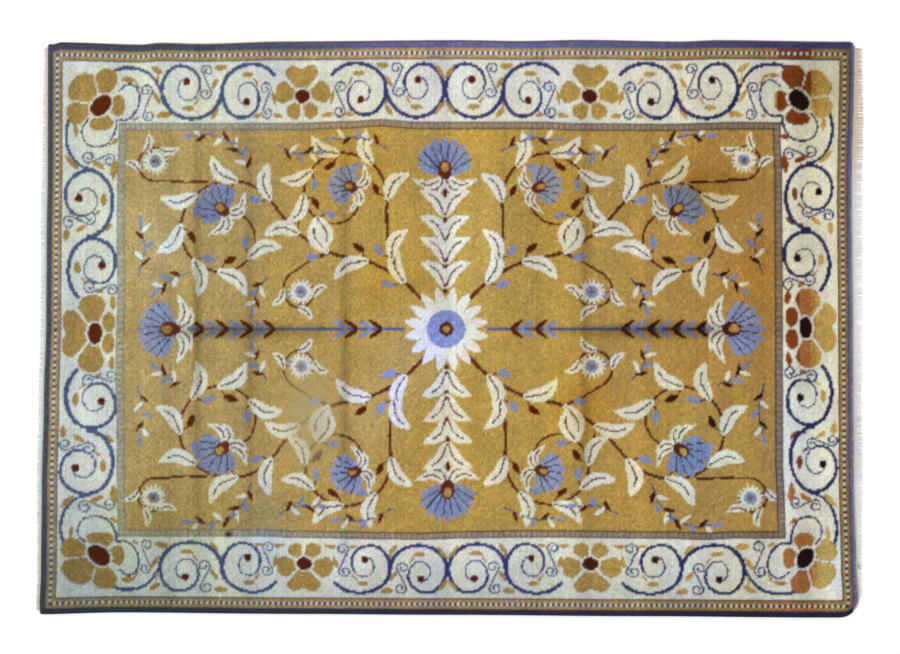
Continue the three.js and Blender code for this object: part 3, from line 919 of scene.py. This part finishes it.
def selvedge(side, shift):
    """The cord along a long side, wrapped with dark wool over and over."""
    bm = bmesh.new()
    bmesh.ops.create_cone(bm, cap_ends=True, segments=10, radius1=1, radius2=1, depth=1)
    upright = [line for line in bm.edges if abs(line.verts[0].co.z - line.verts[1].co.z) > 0.5]
    bmesh.ops.subdivide_edges(bm, edges=upright, cuts=RINGS - 1, use_grid_fill=True)
    mesh = to_mesh(bm, "wrapped_side_" + side)
    spool = values_of(mesh.vertices, "co", 3)
    vertex, face = corners_of(mesh)
    turn = np.arctan2(spool[:, 1], spool[:, 0]) / (2 * np.pi) % 1
    share = spool[:, 2] + 0.5
    middle = values_of(mesh.polygons, "center", 3)[face, 2]
    around = turn[vertex]
    highest = np.zeros(len(mesh.polygons))
    np.maximum.at(highest, face, around)
    around = np.where(highest[face] - around > 0.5, around + 1, around)
    add_map(mesh, "Wrap", share[vertex] * ROWS, around)
    fold = np.clip((middle + 0.5) * FOLDS, 0, FOLDS - 1).astype(int)
    along = share[vertex] * FOLDS - fold
    # Each line has its own margin, and the last face round the cord ends at 1.1 turns
    add_map(mesh, "OFBake", MARGIN + SPAN * along, (fold + 0.05 + 0.9 * around / 1.1) / FOLDS)
    chance = np.random.default_rng(21 if side == "far" else 22)
    ring = np.rint(share * RINGS).astype(int)
    fullness = chance.uniform(0.94, 1.0, ROWS + 1)[np.minimum(ring // WRAP_RINGS, ROWS)]
    wrap = 1 - WRAP_DEPTH * (0.5 + 0.5 * np.cos(2 * np.pi * (share * ROWS - turn)))
    blunt = np.clip(np.minimum(ring, RINGS - ring) / WRAP_RINGS, 0, 1)
    size = fullness * wrap * (CORD_END + (1 - CORD_END) * np.sqrt(blunt * (2 - blunt)))
    places = np.linspace(-HALF_LENGTH + CLEARANCE, HALF_LENGTH - CLEARANCE, RINGS + 1)
    base = edge(side, places)
    outward = edge(side, places, 1.0) - base
    across = CLEARANCE + CORD_WIDTH / 2 * (1 + spool[:, 0] * size)
    height = np.maximum(CORD_HEIGHT / 2 * (1 + spool[:, 1] * size), 0)
    return lay_down(mesh, base[ring] + across[:, None] * outward[ring] + shift, height)


def fringe(side, shift):
    """The ends of the warp, drawn together in small tassels that lie on the floor."""
    end = ENDS[side]
    chance = np.random.default_rng(31 if side == "left" else 32)
    low = end["near"] - HALF_WIDTH
    pitch = (HALF_WIDTH - end["far"] - low) / TASSELS
    lines = np.linspace(-HALF_WIDTH, HALF_WIDTH, 1025)
    root_line = edge(side, lines, end["strip"] + CLEARANCE)
    order = np.argsort(root_line[:, 1])
    steps, heights = np.array(YARN_FALL).T
    strands = bpy.data.curves.new("fringe_" + side, "CURVE")
    strands.dimensions = "3D"
    strands.bevel_depth = YARN / 2 * MM
    strands.bevel_resolution = 1
    strands.use_fill_caps = True
    for count in range(TASSELS):
        middle = low + pitch * (count + 0.5)
        reach = eased(end["reaches"], np.array([middle]))[0]
        # Each tassel leans a little and has a length of its own
        lean = chance.normal(0, 0.05) * reach
        length = reach * chance.uniform(0.93, 1.05)
        for yarn in range(YARNS):
            # Its yarns go from even roots to uneven tips, and every other one lies a little higher
            place = (yarn - (YARNS - 1) / 2) / ((YARNS - 1) / 2)
            root = middle + place * (pitch - YARN) / 2 * 0.96
            tip = middle + place * TASSEL_WIDTH / 2 + lean + chance.normal(0, 1.3)
            drawn = smooth(0, 0.75, steps)
            y = root + (tip - root) * drawn + chance.normal(0, 0.25, len(steps)) * steps
            x = np.interp(root, root_line[order, 1], root_line[order, 0])
            x = x + end["way"] * steps * length * chance.uniform(0.9, 1.0)
            z = heights + (yarn % 2) * 0.7 * drawn
            line = strands.splines.new("POLY")
            line.points.add(len(steps) - 1)
            spots = np.stack([x + shift[0], y + shift[1], z, np.full(len(steps), 1000.0)], 1) * MM
            line.points.foreach_set("co", spots.astype(np.float32).ravel())
            taper = np.interp(steps, [0, 0.8, 1], [1, 0.95, 0.55])
            line.points.foreach_set("radius", taper.astype(np.float32))
    holder = put("strands", strands)
    bpy.context.view_layer.update()
    mesh = bpy.data.meshes.new_from_object(holder.evaluated_get(bpy.context.evaluated_depsgraph_get()))
    bpy.data.objects.remove(holder)
    mesh.name = "fringe_strands_" + side
    mesh.polygons.foreach_set("use_smooth", np.ones(len(mesh.polygons), bool))
    return put(mesh.name, mesh)


def to_linear(code):
    """The linear colour of an sRGB hex value, as it has to be to look so in this bright studio."""
    srgb = np.array([int(code[start:start + 2], 16) for start in (0, 2, 4)]) / 255
    linear = np.where(srgb <= 0.04045, srgb / 12.92, ((srgb + 0.055) / 1.055) ** 2.4)
    return (*(linear / STUDIO_LIGHT), 1.0)


def add(tree, kind, inputs=None, out=0, **settings):
    """Adds a node with its settings and links, and returns one of its outputs.

    Each input is given a plain value or the output that feeds it.
    """
    node = tree.nodes.new("ShaderNode" + kind)
    for name, value in settings.items():
        setattr(node, name, value)
    for name, value in (inputs or {}).items():
        if isinstance(value, bpy.types.NodeSocket):
            tree.links.new(value, node.inputs[name])
        else:
            node.inputs[name].default_value = value
    return node.outputs[out]


def new_material(name):
    material = bpy.data.materials.new(name)
    material.use_nodes = True
    return material, material.node_tree


def finish_surface(material, colour, height, depth, plain):
    """Feeds a material's shader with its colour and with relief of a depth in millimetres.

    Plain holds the shader's own values.
    """
    tree = material.node_tree
    shader = tree.nodes["Principled BSDF"]
    bump = add(tree, "Bump", {"Height": height, "Strength": BUMP_STRENGTH, "Distance": depth * MM})
    if colour is not None:
        tree.links.new(colour, shader.inputs["Base Color"])
    tree.links.new(bump, shader.inputs["Normal"])
    for name, value in plain.items():
        shader.inputs[name].default_value = value
    return material


def vary(tree, colour, parts):
    """A colour made lighter and darker by a few outputs that go from 0 to 1.

    Each part is an output and how much it changes the shade.
    """
    shade = 1.0 - sum(amount for _, amount in parts) / 2
    for output, amount in parts:
        shade = add(tree, "Math", {0: output, 1: amount, 2: shade}, operation="MULTIPLY_ADD")
    return add(tree, "VectorMath", {0: colour, "Scale": shade}, operation="SCALE")


def mark_share(tree, place, spot, strength=1.0):
    """How strong a soft oval mark is. Its spot is its middle and its reach each way, in millimetres."""
    x, y, reach_x, reach_y = (number * MM for number in spot)
    inside = add(tree, "Mapping",
                 {"Vector": place, "Location": (x, y, 0), "Scale": (reach_x, reach_y, 1)},
                 vector_type="TEXTURE")
    far = add(tree, "VectorMath", {0: inside}, "Value", operation="LENGTH")
    return add(tree, "MapRange",
               {"Value": far, "From Min": 1.0, "From Max": 0.0, "To Max": strength},
               interpolation_type="SMOOTHSTEP")


def age_and_painted_shade(tree, colour, place, faded, tinted=()):
    """The faded, the stained and the soiled places, and the painted shade along the near side and along a
    fold.
    """
    for *spot, code, strength in faded:
        share = mark_share(tree, place, spot, strength)
        colour = add(tree, "Mix", {0: share, 6: colour, 7: to_linear(code)}, 2, data_type="RGBA")
    for *spot, tint in tinted:
        share = mark_share(tree, place, spot)
        light = [part ** SCREEN_GAMMA for part in tint]
        colour = add(tree, "Mix", {0: share, 6: colour, 7: (*light, 1.0)}, 2, data_type="RGBA",
                     blend_type="MULTIPLY")
    return colour


def edge_colour(tree, place, along, reach, across, tables):
    """A colour that changes along an axis, over a reach in metres to either side of the middle.

    It is read from the second table where the axis across it is above nought, else from the first.
    """
    parts = add(tree, "SeparateXYZ", {0: place}).node.outputs
    share = add(tree, "MapRange", {"Value": parts[along], "From Min": -reach, "From Max": reach})
    ramps = []
    for stops in tables:
        ramp = add(tree, "ValToRGB", {0: share})
        elements = ramp.node.color_ramp.elements
        elements.remove(elements[1])
        for order, (spot, code) in enumerate(stops):
            stop = elements[0] if order == 0 else elements.new(spot)
            stop.position = spot
            stop.color = to_linear(code)
        ramps.append(ramp)
    second = add(tree, "Math", {0: parts[across], 1: 0.0}, operation="GREATER_THAN")
    return add(tree, "Mix", {0: second, 6: ramps[0], 7: ramps[1]}, 2, data_type="RGBA")


def domes(tree, spots):
    """A round top on every unit square of a map: half a wave each way, between the whole numbers."""
    wave = add(tree, "VectorMath", {0: spots, 1: (np.pi, np.pi, 0)}, operation="MULTIPLY")
    for step in ("SINE", "ABSOLUTE"):
        wave = add(tree, "VectorMath", {0: wave}, operation=step)
    parts = add(tree, "SeparateXYZ", {0: wave}).node.outputs
    return add(tree, "Math", {0: parts["X"], 1: parts["Y"]}, operation="MULTIPLY")


def pile_material():
    """Hand-knotted wool, cut with shears: dull and soft, each knot a small tuft with its own shade.

    Wool dyed by hand in lots gives streaks along the rows, and years of use grey it in places. Shade is
    painted along the near side and along the fold across the middle.
    """
    material, tree = new_material("hand_knotted_wool")
    place = add(tree, "TexCoord", out="Object")
    along = add(tree, "SeparateXYZ", {0: place}, "X")
    own = add(tree, "Attribute", attribute_name="dye")
    mingled = add(tree, "Attribute", attribute_name="mingled")
    # The cut ends of a tuft lean in among its neighbours, so each edge of the design is a little soft
    wool = add(tree, "Mix", {0: LEAN, 6: own, 7: mingled}, 2, data_type="RGBA")
    loom = add(tree, "UVMap", uv_map="Loom")
    knot = add(tree, "VectorMath", {0: loom}, operation="FLOOR")
    row = add(tree, "SeparateXYZ", {0: knot}, "X")
    each_knot = add(tree, "TexWhiteNoise", {"Vector": knot}, noise_dimensions="2D")
    each_row = add(tree, "TexWhiteNoise", {"W": row}, noise_dimensions="1D")
    # Streaks of 110 mm, mottling of 140 mm, and patches of one hue about 17 mm wide
    streaks = add(tree, "TexNoise", {"W": along, "Scale": 9.0, "Detail": 3.0}, noise_dimensions="1D")
    mottle = add(tree, "TexNoise", {"Vector": place, "Scale": 7.0, "Detail": 6.0})
    patches = add(tree, "TexNoise", {"Vector": place, "Scale": 60.0, "Detail": 2.0}, "Color")
    # Wool fibres are 0.04 mm thick, too fine to show, so these are bundles of about 2 mm
    fibre = add(tree, "TexNoise", {"Vector": place, "Scale": 420.0, "Detail": 2.0})
    colour = vary(tree, wool, [(each_knot, 0.2), (each_row, 0.08), (streaks, 0.4), (mottle, 0.5),
                               (fibre, 0.15)])
    # Hand-dyed wool is not quite one hue: each channel drifts a little by itself
    hue = add(tree, "VectorMath", {0: patches, 1: (HUE_DRIFT,) * 3, 2: (1 - HUE_DRIFT / 2,) * 3},
              operation="MULTIPLY_ADD")
    # The dye lots drift as the work goes on, so the drift is long across the carpet and short along it
    lots = add(tree, "VectorMath", {0: place, 1: LOT_DRIFT}, operation="MULTIPLY")
    lot = add(tree, "TexNoise", {"Vector": lots, "Scale": 1.0, "Detail": 5.0, "Roughness": 0.6})
    lot = add(tree, "MapRange", {"Value": lot, "From Min": 0.3, "From Max": 0.7})
    lot = add(tree, "Mix", {0: lot, 6: COOL_LOT, 7: WARM_LOT}, 2, data_type="RGBA")
    for tint in (hue, lot):
        colour = add(tree, "VectorMath", {0: colour, 1: tint}, operation="MULTIPLY")
    # Faded and soiled places, and painted shade along the near side and along the fold
    colour = age_and_painted_shade(tree, colour, place, FADED, TINTED)
    tufts = add(tree, "Math", {0: fibre, 1: 0.5, 2: domes(tree, loom)}, operation="MULTIPLY_ADD")
    return finish_surface(material, colour, tufts, 1.2,
                          {"Roughness": 0.95, "Specular IOR Level": 0.08,
                           "Sheen Weight": 0.04, "Sheen Roughness": 0.6})


def ground_material():
    """The flat back of hand-knotted wool: small hard loops in rows, dull, with the dyes a little greyed.

    The strips at the ends are plain weave in undyed wool, close to the colour of linen.
    """
    material, tree = new_material("woven_wool_ground")
    place = add(tree, "TexCoord", out="Object")
    wool = add(tree, "Attribute", attribute_name="dye")
    loom = add(tree, "UVMap", uv_map="Loom")
    # Two loops of wool, each 3.5 mm wide, show for each knot, and a line of weft between the rows
    loops = add(tree, "VectorMath", {0: loom, 1: (1, 2, 1)}, operation="MULTIPLY")
    loop = add(tree, "VectorMath", {0: loops}, operation="FLOOR")
    each_loop = add(tree, "TexWhiteNoise", {"Vector": loop}, noise_dimensions="2D")
    mottle = add(tree, "TexNoise", {"Vector": place, "Scale": 6.0, "Detail": 5.0})
    relief = domes(tree, loops)
    # The relief also paints the hollows between the loops darker than their tops: painted shade
    colour = vary(tree, wool, [(each_loop, 0.14), (mottle, 0.2), (relief, 0.3)])
    return finish_surface(material, colour, relief, 0.8, {"Roughness": 0.9, "Specular IOR Level": 0.15})


def overcast_material():
    """Thick dyed wool wound round a cord: dull, with a soft ridge for every turn and faded in places."""
    material, tree = new_material("overcast_dyed_wool")
    place = add(tree, "TexCoord", out="Object")
    colour = edge_colour(tree, place, "X", 1.8, "Y", (OVERCAST_NEAR, OVERCAST_FAR))
    wrap = add(tree, "UVMap", uv_map="Wrap")
    # The yarn of a turn is 6 mm wide, and about four strands of it show side by side
    strands = add(tree, "TexWave", {"Vector": wrap, "Scale": 4 / np.pi, "Distortion": 0.4, "Detail": 1.0},
                  "Fac", bands_direction="X")
    turn = add(tree, "VectorMath", {0: wrap}, operation="FLOOR")
    turn = add(tree, "SeparateXYZ", {0: turn}, "X")
    each_turn = add(tree, "TexWhiteNoise", {"W": turn}, noise_dimensions="1D")
    mottle = add(tree, "TexNoise", {"Vector": place, "Scale": 9.0, "Detail": 4.0})
    # The strands' wave also paints the grooves between them darker: painted shade
    colour = vary(tree, colour, [(each_turn, 0.3), (mottle, 0.5), (strands, 0.2)])
    return finish_surface(material, colour, strands, 0.5,
                          {"Roughness": 0.9, "Specular IOR Level": 0.2,
                           "Sheen Weight": 0.1, "Sheen Roughness": 0.5})


def warp_material():
    """Undyed spun yarn: dull and pale, yellowed and soiled unevenly along the edge where feet pass."""
    material, tree = new_material("undyed_warp_yarn")
    place = add(tree, "TexCoord", out="Object")
    colour = edge_colour(tree, place, "Y", 1.3, "X", (WARP_LEFT, WARP_RIGHT))
    # The ply turns every 3 mm, and the yarns lie along X, so slanting bands look twisted
    slant = add(tree, "Mapping", {"Vector": place, "Rotation": (0, 0, 0.6)})
    ply = add(tree, "TexWave", {"Vector": slant, "Scale": 105.0, "Distortion": 1.0}, "Fac")
    # A tassel is about 22 mm wide, and takes its shade by itself
    tassels = add(tree, "TexNoise", {"Vector": place, "Scale": 45.0, "Detail": 4.0})
    # The ply's bands also paint its grooves a little darker: painted shade
    colour = vary(tree, colour, [(ply, 0.1), (tassels, 0.2)])
    colour = age_and_painted_shade(tree, colour, place, [WARP_STAIN])
    return finish_surface(material, colour, ply, 0.3, {"Roughness": 0.85, "Specular IOR Level": 0.2})


def floor_material():
    """Matt white studio board: even, with hardly any grain."""
    material, tree = new_material("matt_white_board")
    grain = add(tree, "TexNoise", {"Scale": 40.0, "Detail": 2.0})
    return finish_surface(material, None, grain, 0.05,
                          {"Base Color": (0.93, 0.93, 0.93, 1), "Roughness": 0.8})


def studio():
    """The camera straight above, as in the photograph, over a white floor under soft light."""
    camera = put("camera", bpy.data.cameras.new("camera"))
    camera.data.lens = LENS
    camera.data.sensor_width = SENSOR
    camera.data.clip_end = 100
    height = VIEW_WIDTH * LENS / SENSOR + PILE_HEIGHT
    camera.location = (0, CAMERA_Y * MM, height * MM)
    scene = bpy.context.scene
    scene.camera = camera
    bm = bmesh.new()
    bmesh.ops.create_grid(bm, x_segments=8, y_segments=8, size=FLOOR_HALF)
    floor = put("floor", to_mesh(bm, "floor"))
    floor.data.materials.append(floor_material())
    lamp = bpy.data.lights.new("lamp", "AREA")
    lamp.shape = "RECTANGLE"
    lamp.size, lamp.size_y = LAMP_SIZE
    lamp.energy = LAMP_WATTS
    put("lamp", lamp).location = LAMP_PLACE
    scene.world = bpy.data.worlds.new("studio")
    scene.world.use_nodes = True
    sky = scene.world.node_tree.nodes["Background"].inputs
    sky["Strength"].default_value = WORLD_LIGHT
    sky["Color"].default_value = (1, 1, 1, 1)
    scene.view_settings.view_transform = "Standard"


def main():
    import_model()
    studio()
    knots = dyed_knots(whole_chart())
    shift = shift_to_frame()
    surface = pile_surface()
    pile = pile_material()
    strips = [
        pile_strip("pile_near", knots, surface, shift, -KNOTS // 2, -CUT),
        pile_strip("pile_middle", knots, surface, shift, -CUT, CUT),
        pile_strip("pile_far", knots, surface, shift, CUT, KNOTS // 2),
    ]
    ground = ground_weave(knots, shift)
    cords = [selvedge("near", shift), selvedge("far", shift)]
    fringes = [fringe("left", shift), fringe("right", shift)]
    for piece in strips:
        piece.data.materials.append(pile)
        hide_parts("knotted_carpet")
    ground.data.materials.append(ground_material())
    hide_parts("knotted_carpet")
    overcast = overcast_material()
    for piece, node in zip(cords, ("selvedge_near", "selvedge_far")):
        piece.data.materials.append(overcast)
        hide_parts(node)
    warp = warp_material()
    for piece, node in zip(fringes, ("fringe_left", "fringe_right")):
        piece.data.materials.append(warp)
        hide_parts(node)
    for piece in (*strips, ground, *cords, *fringes):
        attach(piece, "root")


main()
